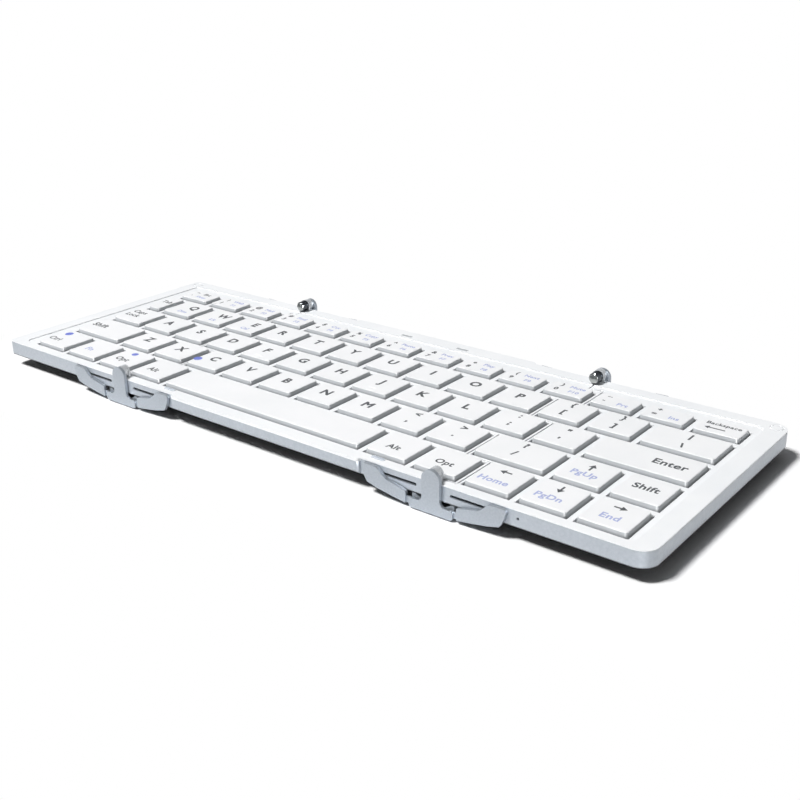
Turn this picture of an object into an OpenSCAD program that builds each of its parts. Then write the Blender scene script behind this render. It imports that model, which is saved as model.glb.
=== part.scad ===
// Pocket keyboard that folds in three. Two outer panels swing up and over the middle one.
// Each fold has a T-shaped bracket at the front and at the rear, joined by a spine that is also the foot.
// Millimetres. The spine's feet stand on z = 0, the middle of the keyboard is x = 0, y = 0, front is -y.

/* [Key field] */
// Key pitch from left to right
key_pitch = 16.5; // [16:0.1:17]
// Key pitch from row to row
row_pitch = 16.5; // [15.8:0.1:17]
// Depth of the cells of the short top row
top_row_d = 11.6; // [11:0.1:14]
// How far the whole key field sits to the right of the middle
key_shift = 1.4; // [0:0.1:1.4]
// Gap between the feet of neighbouring keycaps in a row
key_valley = 2.3; // [1.6:0.1:2.5]
// Gap between the feet of the keycaps of two rows
row_valley = 2.5; // [1.6:0.1:3]
// Height of the keycap tops over the deck
key_rise = 0.9; // [0.8:0.1:1.4]
// Height of a keycap
key_h = 2.1; // [2:0.1:2.3]
// Draft on each side of a keycap
key_draft = 0.4; // [0.3:0.05:0.8]
// Corner radius at the foot of a keycap
key_corner = 1.2; // [1.1:0.1:2]
// Wall of a keycap
key_wall = 1.6; // [1.2:0.1:2]
// Thickness of a keycap's top
key_top = 0.9; // [0.7:0.1:1.1]
// Travel of a key
key_travel = 1.1; // [0.8:0.1:1.2]
// Free space between a keycap and its opening
key_clear = 0.3; // [0.15:0.05:0.35]

/* [Panels] */
// Rim beyond the keys at the outer ends
side_rim = 8.35; // [8:0.05:12]
// Rim in front of the keys
front_rim = 2.9; // [2.6:0.1:4]
// Rim behind the keys
rear_rim = 9.4; // [9.2:0.1:14]
// Height of a panel
panel_h = 4.8; // [4.6:0.1:6]
// Radius of the outer corners on the right
corner_r = 5; // [3:0.5:7]
// Radius of the outer corners on the left
left_corner_r = 2; // [2:0.5:7]
// Wall of the case
wall_t = 0.8; // [0.7:0.05:0.9]
// Wall of the case along the folds
seam_wall = 0.5; // [0.4:0.05:0.6]
// Floor of the case
floor_t = 0.7; // [0.6:0.05:1]
// Thickness of the deck
deck_t = 1.0; // [0.9:0.05:1.2]
// Thickness of the deck's lip over the case wall
lip_t = 0.3; // [0.2:0.05:0.5]
// Depth of the recess that the keys stand in
recess_d = 0.35; // [0.2:0.05:0.45]
// Gap between two panels at a fold
seam_gap = 0.4; // [0.3:0.05:0.5]
// How far the middle panel's bumper stands out
bumper_out = 1.25; // [1:0.05:1.3]
// Height of the deck's lip over a bumper
bumper_lip = 0.85; // [0.6:0.05:1]

/* [Hinges] */
// Height of the case over the table
lift = 4.2; // [4:0.1:6]
// Height of the fold axis over the deck
axis_rise = 2.0; // [1.95:0.05:3]
// Gap between the ends of the outer panels when both are folded
end_gap = 1.5; // [0.8:0.1:3]
// Free space between the case walls and the brackets
bracket_gap = 0.2; // [0.15:0.05:0.3]
// Thickness of brackets and links
bracket_t = 1.05; // [1:0.05:1.3]
// Width of a bracket's stem
stem_w = 5.8; // [5:0.1:6]
// Width of a bracket's foot
foot_w = 14; // [13.6:0.1:14.4]
// Height of a bracket's foot
foot_h = 2.7; // [2.6:0.1:3]
// Radius of the fold pin
pin_r = 1.0; // [0.8:0.05:1.1]
// Radius of the polished heads of the rear pins
head_r = 1.8; // [1.2:0.1:1.8]
// Length of those heads
head_l = 2.9; // [2:0.1:4]
// Radius of the hinge ears
ear_r = 1.9; // [1.7:0.05:1.9]
// Thickness of the steel hinge leaves
leaf_t = 0.6; // [0.5:0.05:0.6]
// Radial play of every pin in its hole
pin_play = 0.05; // [0.03:0.01:0.08]
// Distance of a link's inner pivot from the fold axis, across
pivot_x = 6.0; // [5.9:0.1:6.2]
// Height of a link's inner pivot over the bracket's foot
pivot_up = 1.35; // [1.3:0.05:1.5]
// Radius of that pivot
pivot_r = 0.6; // [0.5:0.05:0.7]
// Distance of a link's sliding end from the fold axis when open
slider_x = 20.5; // [20:0.1:21]
// Height of the slots in the case walls
slot_h = 0.95; // [0.8:0.05:1.1]

/* [Inside] */
// Thickness of the key boards
board_t = 0.4; // [0.3:0.05:0.6]
// Thickness of the dome sheets
sheet_t = 0.3; // [0.2:0.05:0.4]
// Free space over a dome when its key is down
dome_gap = 0.1; // [0.05:0.05:0.2]
// Length of the battery
battery_l = 38; // [30:1:40]
// Width of the battery
battery_w = 6.6; // [5:0.1:7]
// Thickness of the battery
battery_t = 2.6; // [2:0.1:2.7]
// Radius of the case screws
screw_r = 0.7; // [0.5:0.05:0.8]

/* [Hidden] */
$fn = 32;

white = "#f2f3f4";
silver = "#b9bfc4";
steel = "#8d9297";
dark_steel = "#3c4045";
rubber = "#26282a";

// ---- key layout: [start, width] in key pitches, rows counted from the front ----
columns = 14;
function key_run(start, count) = [for (i = [0 : count - 1]) [start + i, 1]];
ROWS = [
    concat(key_run(0, 4), [[4, 5]], key_run(9, 5)),
    concat([[0, 1.5]], key_run(1.5, 9), [[10.5, 1.5]], key_run(12, 2)),
    concat(key_run(0, 12), [[12, 2]]),
    concat([[0, 0.5]], key_run(0.5, 12), [[12.5, 1.5]]),
    key_run(0, 14)];
// the folds step between two columns from row to row: key pitches from the middle
function seam_u(row) = row % 2 == 0 ? 4 : 3.5;
// keys that carry a bar for the fingertips to find
homing_row = 2;
homing_keys = [4, 7];

// ---- overall sizes ----
width = columns * key_pitch + 2 * side_rim;
depth = front_rim + 4 * row_pitch + top_row_d + rear_rim;
front_y = -depth / 2;
fold_x = (width + end_gap) / 4;
far = 60;
function row_edge(row) = front_y + front_rim + (row < 5 ? row * row_pitch : 4 * row_pitch + top_row_d);
// behind the top row the fold steps back to the hinge axis
rear_seam = row_edge(5) + 1.9;

// ---- heights ----
foot_pad_out = 0.25;
case_z = lift;
floor_z = case_z + floor_t;
deck_top = case_z + panel_h;
deck_z = deck_top - deck_t;
wall_top = deck_top - lip_t;
bumper_top = deck_top - bumper_lip;
axis_z = deck_top + axis_rise;
key_z = deck_top + key_rise - key_h;
board_z = floor_z + 0.6;
sheet_z = board_z + board_t;
dome_z = sheet_z + sheet_t;
// the domes are drawn pressed
dome_h = key_z - key_travel - dome_gap - dome_z;

// ---- recess in the deck ----
recess_left = 4.4;
recess_right = 0.9;
recess_r = 2.4;
recess_front = 0.35;
recess_rear = 4.3;

// ---- low pads on the front strip, and the ringed plugs in the rear corners ----
rest_pad = [4.6, 1.2];
rest_pad_at = [42, row_edge(0) - 0.35];
rest_pad_h = 0.25;
plug_r = 2.0;
plug_at = [width / 2 - 3.45, depth / 2 - 3.35];
plug_groove = 0.2;

// ---- hinge places, given for the front end of the right-hand fold ----
bracket_back = front_y - bracket_gap;
bracket_y = bracket_back - bracket_t;
outer_leaf_y = front_y + wall_t + 0.05;
middle_leaf_y = outer_leaf_y + leaf_t + 0.15;
pin_end_y = middle_leaf_y + leaf_t + 0.1;
pin_seat = 0.5;
head_flange = 0.6;
leaf_inset = 0.35;
leaf_foot = 4.9;
leaf_cut = 0.2;
leaf_z = floor_z + 0.05;
stem_r = stem_w / 2;
stem_top = 1.1;
wing_cut = 4.3;
lap = bracket_t / 2 - 0.025;
pivot_z = foot_pad_out + pivot_up;
slot_z = deck_top - 2.45;
link_len = sqrt(pow(slider_x - pivot_x, 2) + pow(slot_z - pivot_z, 2));
// the sliding end's place once the bracket has turned a quarter against the panel
folded_pivot = [pivot_z - axis_z, axis_z - pivot_x];
slider_in = folded_pivot[0] + sqrt(pow(link_len, 2) - pow(slot_z - folded_pivot[1], 2));
link_tip = slider_x + 2.6;
tongue_r = 1.25;
link_gap = 2.2;
bumper_x = fold_x - link_tip - 1.2;

// ---- spine ----
sweep_r = 9.1;
spine_top = case_z - 0.25;
spine_w = foot_w - 0.4;
pad_l = 22;
pad_w = 8;
pad_y = 28;
ribbon_t = 0.15;
ribbon_w = 5;
ribbon_y = rear_seam + 3.1;

// ---- electronics in the middle panel's rear rim ----
rear_bay_y = row_edge(5) + 1.2;
battery_x = -8 - battery_l;
tongue_x = [4, 24];
socket_x = 29;
socket_w = 7.5;
socket_h = 2.45;
socket_l = 5.6;
socket_z = deck_z - 0.05 - socket_h;
socket_y = depth / 2 + 0.6 - socket_l;
lights = [-13.2, 10.6];
light_w = 4.4;
light_d = 1.2;
light_y = row_edge(5) + 6.55;
outer_screws = [[width / 2 - 4.4, front_y + 7], [width / 2 - 4.4, -front_y - 6.5], [fold_x + 9, -front_y - 5]];
middle_screws_at = [[fold_x - 9, -front_y - 5], [-2, -front_y - 5], [9 - fold_x, -front_y - 5]];
boss_r = 1.8;
screw_head_r = 1.4;
screw_head_h = 0.7;

// ---- helpers ----
module slab(z, top) {
    translate([0, 0, z]) linear_extrude(top - z) children();
}

// a flat profile drawn in x and z, standing on edge from y to y + t
module upright(y, t) {
    translate([0, y + t, 0]) rotate([90, 0, 0]) linear_extrude(t) children();
}

module both_ends() {
    children();
    mirror([0, 1, 0]) children();
}

module both_sides() {
    children();
    mirror([1, 0, 0]) children();
}

module both_sides_flat() {
    children();
    mirror([1, 0]) children();
}

module box(low, high) {
    translate(low) cube(high - low);
}

module rect(low, high) {
    if (high[0] > low[0] && high[1] > low[1]) translate(low) square(high - low);
}

module round_rect(low, high, r) {
    rect(low + [r, 0], high - [r, 0]);
    rect(low + [0, r], high - [0, r]);
    for (x = [low[0] + r, high[0] - r], y = [low[1] + r, high[1] - r]) translate([x, y]) circle(r);
}

// ---- panel outlines: inset is taken off the outer walls, seam off the fold's edges ----
// side -1 is the left panel, drawn mirrored
module outer_outline(side, inset, seam) {
    off = seam_gap / 2 + seam;
    r = (side < 0 ? left_corner_r : corner_r) - inset;
    x = width / 2 - inset;
    y = depth / 2 - inset;
    shift = side * key_shift;
    inner = 4 * key_pitch + shift + off;
    rect([inner, -y], [x - r, y]);
    rect([inner, r - y], [x, y - r]);
    for (s = [-1, 1]) translate([x - r, s * (y - r)]) circle(r);
    for (row = [1, 3])
        rect([3.5 * key_pitch + shift + off, row_edge(row) + off], [inner + 1, row_edge(row + 1) - off]);
    rect([fold_x + off, -y], [inner + 1, row_edge(0) - off]);
    rect([fold_x + off, rear_seam + off], [inner + 1, y]);
}

module middle_outline(inset, seam) {
    off = seam_gap / 2 + seam;
    y = depth / 2 - inset;
    main = 3.5 * key_pitch - off;
    tab = 4 * key_pitch - off;
    strip = fold_x - off;
    translate([key_shift, 0]) {
        rect([-main, -y], [main, y]);
        for (row = [0, 2]) rect([-tab, row_edge(row) + off], [tab, row_edge(row + 1) - off]);
        rect([-tab, row_edge(4) + off], [tab, rear_seam - off]);
    }
    rect([-strip, -y], [strip, row_edge(1) - off]);
    rect([-strip, row_edge(4) + off], [strip, y]);
}

// the bumper is a strip with rounded ends; back is how far it reaches into the panel
module bumper_outline(back) {
    r = bumper_out;
    both_sides_flat() {
        rect([-1, front_y - r], [bumper_x - r, front_y + back]);
        intersection() {
            translate([bumper_x - r, front_y]) circle(r);
            rect([0, front_y - r], [bumper_x, front_y]);
        }
    }
}

// panel -1 is the left one, 0 the middle one, 1 the right one
module outline(panel, inset, seam) {
    if (panel == 0) middle_outline(inset, seam);
    else mirror([panel < 0 ? 1 : 0, 0]) outer_outline(panel, inset, seam);
}

function panel_of(row, key) =
    key[0] + key[1] <= columns / 2 - seam_u(row) ? -1 : key[0] >= columns / 2 + seam_u(row) ? 1 : 0;
function key_low(row, key) = [(key[0] - columns / 2) * key_pitch + key_shift, row_edge(row)];
function key_high(row, key) = [(key[0] + key[1] - columns / 2) * key_pitch + key_shift, row_edge(row + 1)];
function key_middle(row, key) = (key_low(row, key) + key_high(row, key)) / 2;

module key_openings(panel) {
    edge = [key_valley / 2 - key_clear, row_valley / 2 - key_clear];
    for (row = [0 : 4], key = ROWS[row])
        if (panel_of(row, key) == panel)
            rect(key_low(row, key) + edge, key_high(row, key) - edge);
}

// the part of a panel that lies under its keys
module key_floor(panel, seam) {
    intersection() {
        outline(panel, wall_t, seam);
        rect([key_shift - columns / 2 * key_pitch - 0.6, row_edge(0) + 0.9],
            [key_shift + columns / 2 * key_pitch + 0.6, row_edge(5) + 0.6]);
    }
}

module row_ribs(panel, w) {
    intersection() {
        key_floor(panel, seam_wall);
        for (row = [1 : 4]) rect([-width, row_edge(row) - w / 2], [width, row_edge(row) + w / 2]);
    }
}

function screws(panel) = panel == 0 ? middle_screws_at : [for (s = outer_screws) [panel * s[0], s[1]]];

module at_screws(panel) {
    for (s = screws(panel)) translate([s[0], s[1], 0]) children();
}

// room for the hinge leaves at a fold's edge, from the floor up
module leaf_room(panel) {
    y = panel == 0 ? middle_leaf_y : outer_leaf_y;
    side = panel == 0 ? -1 : 1;
    for (m = panel == 0 ? [0, 1] : [panel < 0 ? 1 : 0]) mirror([m, 0, 0]) translate([fold_x, 0, 0])
        both_ends() {
            box([min(0, side * (ear_r + leaf_cut)), y - 0.05, floor_z],
                [max(0, side * (ear_r + leaf_cut)), y + leaf_t + 0.25, deck_top + 1]);
            if (panel != 0)
                box([0, front_y + wall_t, floor_z], [leaf_foot + leaf_cut, row_edge(0) + 0.1, deck_z]);
        }
}

// the slots that the links' outer ends slide in
module link_slots(panel) {
    side = panel == 0 ? -1 : 1;
    for (m = panel == 0 ? [0, 1] : [panel < 0 ? 1 : 0]) mirror([m, 0, 0]) translate([fold_x, 0, 0])
        both_ends() upright(front_y - 1, wall_t + 2) {
            translate([side * (slider_in + slider_x) / 2, slot_z])
                square([slider_x - slider_in, slot_h], center = true);
            for (x = [slider_in, slider_x]) translate([side * x, slot_z]) circle(slot_h / 2);
        }
}

// the slot in the case floor that a ribbon cable passes
module ribbon_slots(panel) {
    side = panel == 0 ? -1 : 1;
    for (m = panel == 0 ? [0, 1] : [panel < 0 ? 1 : 0]) mirror([m, 0, 0])
        translate([fold_x + side * 5.7, ribbon_y, case_z])
            cube([1.4, ribbon_w + 0.6, 4], center = true);
}

// ---- cases ----
module case_shell(panel) {
    difference() {
        union() {
            slab(case_z, deck_z) outline(panel, 0, 0);
            slab(deck_z - 0.01, wall_top) difference() {
                outline(panel, 0, 0);
                outline(panel, wall_t, 0);
            }
            if (panel == 0) both_ends() bumper();
        }
        slab(floor_z, deck_z + 0.01) outline(panel, wall_t, seam_wall);
        leaf_room(panel);
        link_slots(panel);
        ribbon_slots(panel);
        at_screws(panel) translate([0, 0, case_z - 1]) cylinder(h = screw_head_h + 1, r = screw_head_r + 0.1);
        if (panel == 0) socket_cut();
    }
    slab(floor_z - 0.01, board_z) row_ribs(panel, 1);
    difference() {
        at_screws(panel) translate([0, 0, case_z]) cylinder(h = board_z - case_z, r = boss_r);
        at_screws(panel) translate([0, 0, case_z]) cylinder(h = 5, r = screw_r + 0.1);
        at_screws(panel) translate([0, 0, case_z - 1]) cylinder(h = screw_head_h + 1, r = screw_head_r + 0.1);
    }
}

// the bumper is flush with the brackets, and its underside slopes back to the case
module bumper() {
    difference() {
        slab(case_z, bumper_top) bumper_outline(wall_t / 2);
        translate([0, front_y, case_z]) rotate([-42, 0, 0])
            translate([-width, -far, -far]) cube([2 * width, far, far]);
    }
}

module socket_cut() {
    box([socket_x - socket_w / 2 - 0.1, depth / 2 - wall_t - 1, socket_z - 0.1],
        [socket_x + socket_w / 2 + 0.1, depth / 2 + bumper_out + 1, deck_z - 0.01]);
}

module middle_case() color(silver) case_shell(0);
module left_case() color(silver) case_shell(-1);

module right_case() color(silver) {
    // a pinhole in the front wall, beside the right-hand link
    difference() {
        case_shell(1);
        translate([fold_x + link_tip + 2.8, front_y + 2, slot_z + 0.1]) rotate([90, 0, 0]) cylinder(h = 4, r = 0.4);
    }
}

// ---- decks ----
module deck_shell(panel) {
    difference() {
        union() {
            slab(deck_z, wall_top + 0.01) outline(panel, wall_t, 0);
            slab(wall_top, deck_top) outline(panel, 0, 0);
            if (panel == 0) both_ends() {
                slab(bumper_top, deck_top) bumper_outline(0);
                slab(wall_top, deck_top) bumper_outline(wall_t / 2);
            }
        }
        slab(deck_top - recess_d, deck_top + 1)
            round_rect([key_shift - columns / 2 * key_pitch - recess_left, row_edge(0) + recess_front],
                [key_shift + columns / 2 * key_pitch + recess_right, row_edge(5) + recess_rear], recess_r);
        slab(deck_z - 1, deck_top + 1) key_openings(panel);
        leaf_room(panel);
        if (panel == 0) for (x = lights) translate([x, light_y, deck_z])
            cube([light_w + 0.1, light_d + 0.1, 4], center = true);
        else slab(deck_top - plug_groove, deck_top + 1) translate([panel * plug_at[0], plug_at[1]])
            difference() {
                circle(plug_r);
                circle(plug_r - plug_groove);
            }
    }
    if (panel == 0) slab(deck_top - 0.01, deck_top + rest_pad_h) both_sides_flat() translate(rest_pad_at) {
        square([rest_pad[0] - rest_pad[1], rest_pad[1]], center = true);
        for (s = [-1, 1]) translate([s * (rest_pad[0] - rest_pad[1]) / 2, 0]) circle(rest_pad[1] / 2);
    }
    slab(dome_z, deck_z + 0.01) row_ribs(panel, 0.8);
    difference() {
        at_screws(panel) translate([0, 0, board_z]) cylinder(h = deck_z - board_z + 0.01, r = boss_r);
        at_screws(panel) translate([0, 0, board_z - 1]) cylinder(h = deck_z - board_z + 0.9, r = screw_r + 0.03);
    }
}

module middle_deck() color(white) deck_shell(0);
module left_deck() color(white) deck_shell(-1);
module right_deck() color(white) deck_shell(1);

module status_lights() color(dark_steel) {
    for (x = lights) translate([x - light_w / 2, light_y - light_d / 2, deck_z]) {
        cube([light_w, light_d, deck_top - deck_z]);
        translate([-0.5, -0.4, -0.2]) cube([light_w + 1, light_d + 0.8, 0.2]);
    }
}

// ---- key boards and domes ----
module dome_sheet(panel) color("#d9dcdf") {
    slab(sheet_z, dome_z) key_floor(panel, seam_wall + 0.3);
    for (row = [0 : 4], key = ROWS[row])
        if (panel_of(row, key) == panel)
            translate([key_middle(row, key)[0], key_middle(row, key)[1], dome_z - 0.01])
                cylinder(h = dome_h + 0.01, r1 = min(2.8, key[1] * 4.4), r2 = min(1.7, key[1] * 3));
}

module key_board(panel) color("#2f6b4a") slab(board_z, sheet_z) key_floor(panel, seam_wall + 0.3);

module middle_dome_sheet() dome_sheet(0);
module left_dome_sheet() dome_sheet(-1);
module right_dome_sheet() dome_sheet(1);
module left_key_board() key_board(-1);
module right_key_board() key_board(1);

// the middle board has a tongue behind the keys with the controller on it
module middle_key_board() {
    key_board(0);
    color("#2f6b4a") slab(board_z, sheet_z)
        rect([tongue_x[0], row_edge(5)], [tongue_x[1], depth / 2 - wall_t - 1.2]);
    color(rubber) {
        box([tongue_x[0] + 2, rear_bay_y + 0.5, sheet_z - 0.01], [tongue_x[0] + 7, rear_bay_y + 5.5, sheet_z + 0.9]);
        box([tongue_x[0] + 10, rear_bay_y + 1, sheet_z - 0.01], [tongue_x[0] + 17, rear_bay_y + 4.4, sheet_z + 0.7]);
    }
}

module battery() color("#c9cdd0") {
    rear_bay = [battery_x, rear_bay_y, floor_z];
    translate(rear_bay) cube([battery_l, battery_w, battery_t]);
}

module charging_socket() color(steel) {
    translate([socket_x, socket_y, socket_z]) {
        difference() {
            box([-socket_w / 2, 0, 0], [socket_w / 2, socket_l, socket_h]);
            box([0.3 - socket_w / 2, 1, 0.3], [socket_w / 2 - 0.3, socket_l + 1, socket_h - 0.3]);
        }
        box([-2, 0.5, socket_h / 2 - 0.3], [2, socket_l - 1, socket_h / 2 + 0.3]);
        // it stands on the case floor
        box([-socket_w / 2, 0.3, floor_z - socket_z], [socket_w / 2, socket_l - 2, 0.01]);
    }
}

// ---- hinges, drawn for the right-hand fold ----
module bracket_profile() {
    fillet = 1.6;
    low = foot_pad_out;
    top = low + foot_h;
    rect([-stem_r, low], [stem_r, axis_z - stem_top]);
    translate([0, axis_z - stem_top]) circle(stem_r);
    both_sides_flat() {
        rect([-1, low], [foot_w / 2 - 0.8, top]);
        rect([-1, low + 0.8], [foot_w / 2, top - 0.8]);
        translate([foot_w / 2 - 0.8, low + 0.8]) circle(0.8);
        translate([foot_w / 2 - 0.8, top - 0.8]) circle(0.8);
        difference() {
            rect([stem_r - 0.1, top - 0.1], [stem_r + fillet, top + fillet]);
            translate([stem_r + fillet, top + fillet]) circle(fillet);
        }
    }
}

module hinge_brackets() color(silver) translate([fold_x, 0, 0]) both_ends() {
    difference() {
        upright(bracket_y, bracket_t) bracket_profile();
        // the wings are halved so that the links' tongues lie behind them
        both_sides() box([wing_cut, bracket_back - lap - 0.025, -1], [foot_w, bracket_back + 1, 3 * foot_h]);
        upright(bracket_back - pin_seat, 1) translate([0, axis_z]) circle(pin_r + 0.02);
    }
    both_sides() upright(bracket_back - lap - 0.05, lap) translate([pivot_x, pivot_z]) circle(pivot_r);
}

module hinge_pins() color(steel) translate([fold_x, 0, 0]) {
    upright(bracket_back - pin_seat, pin_end_y - bracket_back + pin_seat) translate([0, axis_z]) circle(pin_r);
    mirror([0, 1, 0]) {
        upright(bracket_back - pin_seat, pin_end_y - bracket_back + pin_seat) translate([0, axis_z]) circle(pin_r);
        translate([0, pin_end_y - 0.01, axis_z]) rotate([-90, 0, 0]) {
            cylinder(h = head_flange, r = head_r + 0.15);
            cylinder(h = head_l - 0.4, r = head_r);
            translate([0, 0, head_l - 0.41]) cylinder(h = 0.4, r1 = head_r, r2 = head_r - 0.4);
        }
    }
}

// the steel ear and its leaf inside the case; side 1 for the outer panel, -1 for the middle one
module leaf_profile(side) {
    translate([0, axis_z]) circle(ear_r);
    mirror([side < 0 ? 1 : 0, 0]) {
        rect([leaf_inset, leaf_z], [ear_r, axis_z]);
        rect([leaf_inset, leaf_z], [leaf_foot, deck_z - 0.1]);
    }
}

module outer_leaves() color(dark_steel) translate([fold_x, 0, 0]) both_ends() difference() {
    union() {
        upright(outer_leaf_y, leaf_t) leaf_profile(1);
        upright(bracket_back + 0.1, outer_leaf_y - bracket_back) translate([0, axis_z]) circle(ear_r);
    }
    upright(bracket_back - 1, 5) translate([0, axis_z]) circle(pin_r + pin_play);
}

module middle_leaves() color(dark_steel) translate([fold_x, 0, 0]) both_ends() difference() {
    upright(middle_leaf_y, leaf_t) leaf_profile(-1);
    upright(bracket_back - 1, 5) translate([0, axis_z]) circle(pin_r + pin_play);
}

// a link's face: a slim bar from the bracket's foot to a raised head over the slot
module link_profile() {
    head_x = slider_x;
    low_in = [pivot_x + link_gap, pivot_z - 0.65];
    top_in = [pivot_x + link_gap, pivot_z + 2.7];
    corner = 0.9;
    tip = [link_tip - corner, slot_z + 1.15];
    polygon(concat([
        low_in,
        [pivot_x + 6.8, pivot_z - 0.05],
        [head_x - 2.7, slot_z - 4.15],
        [head_x + 0.8, slot_z - 3.25],
        [head_x + 1.8, slot_z - 1.55]],
        [for (a = [-10 : 20 : 90]) tip + corner * [cos(a), sin(a)]], [
        [head_x - 2.0, slot_z + 1.95],
        [head_x - 3.0, slot_z + 1.6],
        [head_x - 4.4, slot_z + 0.2],
        [head_x - 5.7, slot_z - 0.75],
        [pivot_x + 5.8, pivot_z + 3.6],
        top_in]));
}

module links() color(silver) translate([fold_x, 0, 0]) both_ends() difference() {
    union() {
        upright(bracket_y, bracket_t) link_profile();
        upright(bracket_back - lap, lap) {
            translate([pivot_x, pivot_z]) circle(tongue_r);
            rect([pivot_x, pivot_z - 0.65], [pivot_x + link_gap + 0.5, pivot_z + tongue_r]);
        }
    }
    upright(bracket_back - 2, 3) translate([pivot_x, pivot_z]) circle(pivot_r + pin_play);
}

// the spine's channel follows the arc that the panels' edges sweep
module spine() color(dark_steel) translate([fold_x, 0, 0]) difference() {
    upright(bracket_back, -2 * bracket_back) rect([-spine_w / 2, foot_pad_out], [spine_w / 2, spine_top]);
    upright(bracket_back - 1, far * 4) translate([0, axis_z]) circle(sweep_r);
    both_ends() both_sides() box([wing_cut - 0.1, bracket_back - 1, -1], [foot_w, bracket_back + 0.15, far]);
    both_ends() translate([0, pad_y, 0]) cube([pad_w + 0.1, pad_l + 0.1, 1.7], center = true);
}

module spine_feet() color(rubber) translate([fold_x, 0, 0])
    both_ends() translate([-pad_w / 2, pad_y - pad_l / 2, 0]) cube([pad_w, pad_l, 0.85]);

module ribbon_cable() color("#b9822f") translate([fold_x, 0, 0]) intersection() {
    upright(ribbon_y - ribbon_w / 2, ribbon_w) translate([0, axis_z]) difference() {
        circle(sweep_r - 0.02);
        circle(sweep_r - 0.02 - ribbon_t);
    }
    box([-far, -far, 0], [far, far, case_z - 0.1]);
}

module left_hinge_brackets() mirror([1, 0, 0]) hinge_brackets();
module right_hinge_brackets() hinge_brackets();
module left_hinge_pins() mirror([1, 0, 0]) hinge_pins();
module right_hinge_pins() hinge_pins();
module middle_hinge_leaves() both_sides() middle_leaves();
module left_hinge_leaves() mirror([1, 0, 0]) outer_leaves();
module right_hinge_leaves() outer_leaves();
module left_spine() mirror([1, 0, 0]) spine();
module right_spine() spine();
module left_spine_feet() mirror([1, 0, 0]) spine_feet();
module right_spine_feet() spine_feet();
module left_ribbon_cable() mirror([1, 0, 0]) ribbon_cable();
module right_ribbon_cable() ribbon_cable();
module left_outer_links() mirror([1, 0, 0]) links();
module right_outer_links() links();
module right_inner_links() translate([2 * fold_x, 0, 0]) mirror([1, 0, 0]) links();
module left_inner_links() mirror([1, 0, 0]) right_inner_links();

module screws_in(panel) color(steel) at_screws(panel) {
    translate([0, 0, case_z]) cylinder(h = screw_head_h, r = screw_head_r);
    translate([0, 0, case_z + screw_head_h - 0.01]) cylinder(h = deck_z - case_z - screw_head_h - 0.6, r = screw_r);
}

// ---- keycaps ----
module key_cap(w, d) {
    cx = w / 2 - key_corner;
    cy = d / 2 - key_corner;
    translate([0, 0, key_z]) difference() {
        union() {
            rotate([90, 0, 0]) linear_extrude(2 * cy, center = true) cap_profile(w / 2);
            rotate([90, 0, 90]) linear_extrude(2 * cx, center = true) cap_profile(d / 2);
            for (x = [-cx, cx], y = [-cy, cy]) translate([x, y, 0])
                cylinder(h = key_h, r1 = key_corner, r2 = key_corner - key_draft);
        }
        difference() {
            box([key_wall - w / 2, key_wall - d / 2, -1], [w / 2 - key_wall, d / 2 - key_wall, key_h - key_top]);
            translate([0, 0, -2]) cylinder(h = key_h + 3, r = min(1.5, w / 2 - key_wall - 0.3));
        }
    }
}

module cap_profile(half) {
    polygon([[-half, 0], [half, 0], [half - key_draft, key_h], [key_draft - half, key_h]]);
}

module keys(row, first, last) color(white) {
    for (i = [first : last]) {
        key = ROWS[row][i];
        at = key_middle(row, key);
        size = key_high(row, key) - key_low(row, key) - [key_valley, row_valley];
        translate([at[0], at[1], 0]) key_cap(size[0], size[1]);
        if (row == homing_row && len([for (k = homing_keys) if (k == i) k]) > 0)
            translate([at[0], at[1] - size[1] * 0.3, key_z + key_h]) cube([3.2, 0.5, 0.3], center = true);
    }
}

module left_letter_keys() {
    keys(4, 1, 2);
    keys(3, 1, 3);
    keys(2, 1, 2);
    keys(1, 1, 2);
}

module middle_lower_letter_keys() {
    keys(2, 3, 10);
    keys(1, 3, 9);
}

module right_symbol_keys() {
    keys(4, 11, 12);
    keys(3, 11, 12);
    keys(2, 11, 11);
}

middle_case();
left_case();
right_case();
middle_deck();
left_deck();
right_deck();
middle_dome_sheet();
left_dome_sheet();
right_dome_sheet();
middle_key_board();
left_key_board();
right_key_board();
battery();
charging_socket();
status_lights();
left_ribbon_cable();
right_ribbon_cable();
left_hinge_brackets();
right_hinge_brackets();
left_spine();
right_spine();
left_spine_feet();
right_spine_feet();
left_hinge_pins();
right_hinge_pins();
middle_hinge_leaves();
left_hinge_leaves();
right_hinge_leaves();
left_outer_links();
left_inner_links();
right_outer_links();
right_inner_links();
screws_in(0);  // middle_screws
screws_in(-1);  // left_screws
screws_in(1);  // right_screws
keys(4, 0, 0);  // esc_key
keys(4, 13, 13);  // backspace_key
keys(3, 0, 0);  // tab_key
keys(3, 13, 13);  // backslash_key
keys(2, 0, 0);  // caps_lock_key
keys(2, 12, 12);  // enter_key
keys(1, 0, 0);  // left_shift_key
keys(1, 10, 10);  // slash_key
keys(1, 11, 11);  // up_arrow_key
keys(1, 12, 12);  // right_shift_key
keys(0, 0, 0);  // ctrl_key
keys(0, 1, 1);  // fn_key
keys(0, 2, 2);  // left_option_key
keys(0, 3, 3);  // left_alt_key
keys(0, 4, 4);  // space_key
keys(0, 5, 5);  // right_alt_key
keys(0, 6, 6);  // right_option_key
keys(0, 7, 7);  // left_arrow_key
keys(0, 8, 8);  // down_arrow_key
keys(0, 9, 9);  // right_arrow_key
left_letter_keys();
keys(4, 3, 10);  // middle_number_keys
keys(3, 4, 10);  // middle_upper_letter_keys
middle_lower_letter_keys();
right_symbol_keys();
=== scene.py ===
import math

import bpy
import numpy as np
from mathutils import Matrix, Vector


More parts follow.
